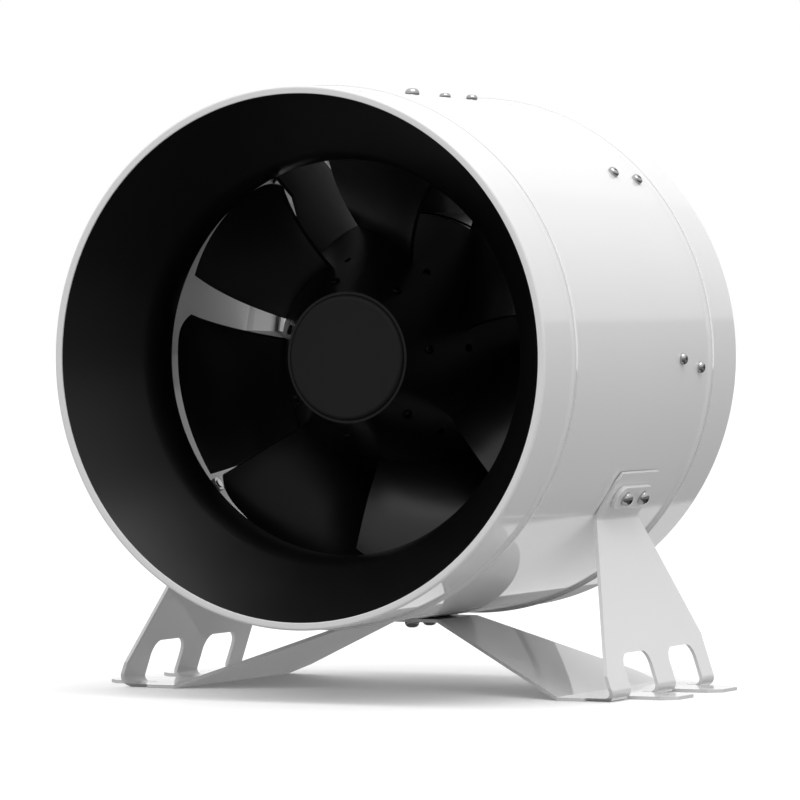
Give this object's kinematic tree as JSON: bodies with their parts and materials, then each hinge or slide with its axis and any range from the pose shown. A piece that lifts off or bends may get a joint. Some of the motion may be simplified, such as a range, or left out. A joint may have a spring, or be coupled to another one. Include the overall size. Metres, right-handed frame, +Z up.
{
  "type": "inline duct fan",
  "caption": "Mixed-flow inline duct fan: round white casing with a black bell-mouth inlet and impeller, guide vanes, central motor and a bent-sheet stand.",
  "frame": {"origin": "on the floor plane, below the middle of the casing", "axes": "+Z up, +Y along the airflow from inlet to outlet, +X to the right of someone facing the inlet"},
  "size_m": [0.371, 0.292, 0.3582],
  "materials": {
    "white_paint": "gloss",
    "nozzle_black": "satin",
    "impeller_black": "satin",
    "cap_grey": "matte",
    "vane_black": "gloss",
    "black_steel": "satin",
    "chrome": "polished",
    "zinc": "satin",
    "steel": "satin",
    "magnet": "matte",
    "cast_alu": "satin",
    "lamination": "satin",
    "copper": "satin",
    "brass": "satin",
    "board_green": "gloss",
    "capacitor": "gloss",
    "choke": "matte"
  },
  "bodies": {
    "casing": {"casing_tube": "white_paint", "inlet_nozzle": "nozzle_black", "motor_flange": "cast_alu", "bearing_front": "steel", "bearing_rear": "steel", "stator_core": "lamination", "motor_windings": "copper", "stator_hub": "vane_black", "tail_cover": "vane_black", "guide_vanes": "vane_black", "vane_screws": "chrome", "vane_nuts": "zinc", "motor_screws": "zinc", "tail_screws": "zinc", "board_standoffs": "brass", "driver_board": "board_green", "board_screws": "zinc", "board_capacitors": "capacitor", "board_choke": "choke", "board_cooler": "cast_alu", "stand_bracket": "white_paint", "spreader_plates": "white_paint", "stand_screws": "chrome", "stand_nuts": "zinc", "earth_screw": "chrome", "earth_nut": "zinc"},
    "rotor": {"hub_cap": "cap_grey", "impeller_hub": "impeller_black", "impeller_blades": "impeller_black", "hub_screws": "black_steel", "rotor_cup": "steel", "rotor_magnets": "magnet", "motor_shaft": "steel"}
  },
  "joints": [
    {"name": "rotor_spin", "type": "hinge", "parent": "casing", "child": "rotor", "pos_m": [0, 0, 0.198], "axis": [0, 1, 0], "continuous": true}
  ]
}
